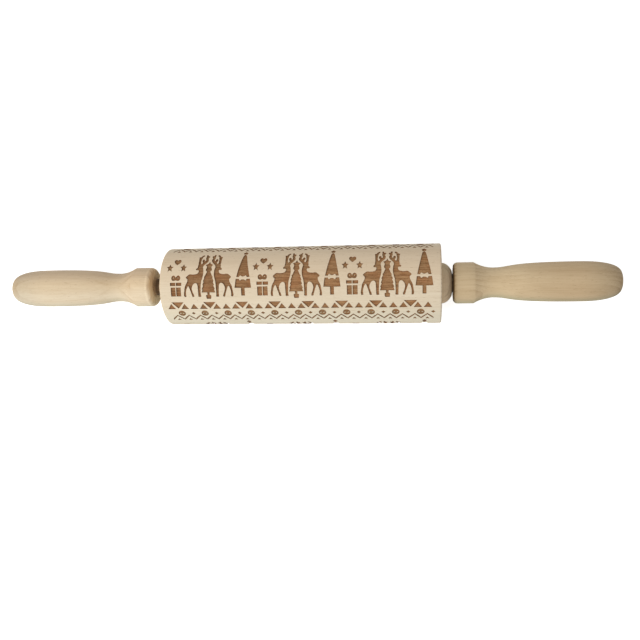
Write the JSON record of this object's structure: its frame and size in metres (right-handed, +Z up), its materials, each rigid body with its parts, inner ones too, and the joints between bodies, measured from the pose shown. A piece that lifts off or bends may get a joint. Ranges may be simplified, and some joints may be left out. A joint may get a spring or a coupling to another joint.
{
  "type": "embossed rolling pin",
  "caption": "Wooden rolling pin with two turned handles and a freely turning barrel engraved with winter figures, for pressing a pattern into dough.",
  "frame": {"origin": "on the table under the pin's axis, midway between the tips of the two handles", "axes": "+X along the pin towards the right-hand handle, +Z up from the table"},
  "size_m": [0.3562, 0.045, 0.045],
  "materials": {
    "barrel_wood": "smooth sanded pale beech with brown scorched engraving",
    "boss_wood": "smooth oiled beech",
    "axle_wood": "plain beech dowel",
    "handle_wood": "smooth oiled beech with fine lengthwise grain"
  },
  "bodies": {
    "handles": {"axle_rod": "axle_wood", "handle_left": "handle_wood", "handle_right": "handle_wood"},
    "end_bosses": {"end_boss_left": "boss_wood", "end_boss_right": "boss_wood"},
    "barrel": {"barrel": "barrel_wood"}
  },
  "joints": [
    {"name": "barrel_float", "type": "slide", "parent": "handles", "child": "end_bosses", "axis": [1, 0, 0], "range_m": [-0.0043, 0.0005]},
    {"name": "barrel_spin", "type": "hinge", "parent": "end_bosses", "child": "barrel", "pos_m": [0, 0, 0.0225], "axis": [1, 0, 0], "continuous": true}
  ]
}
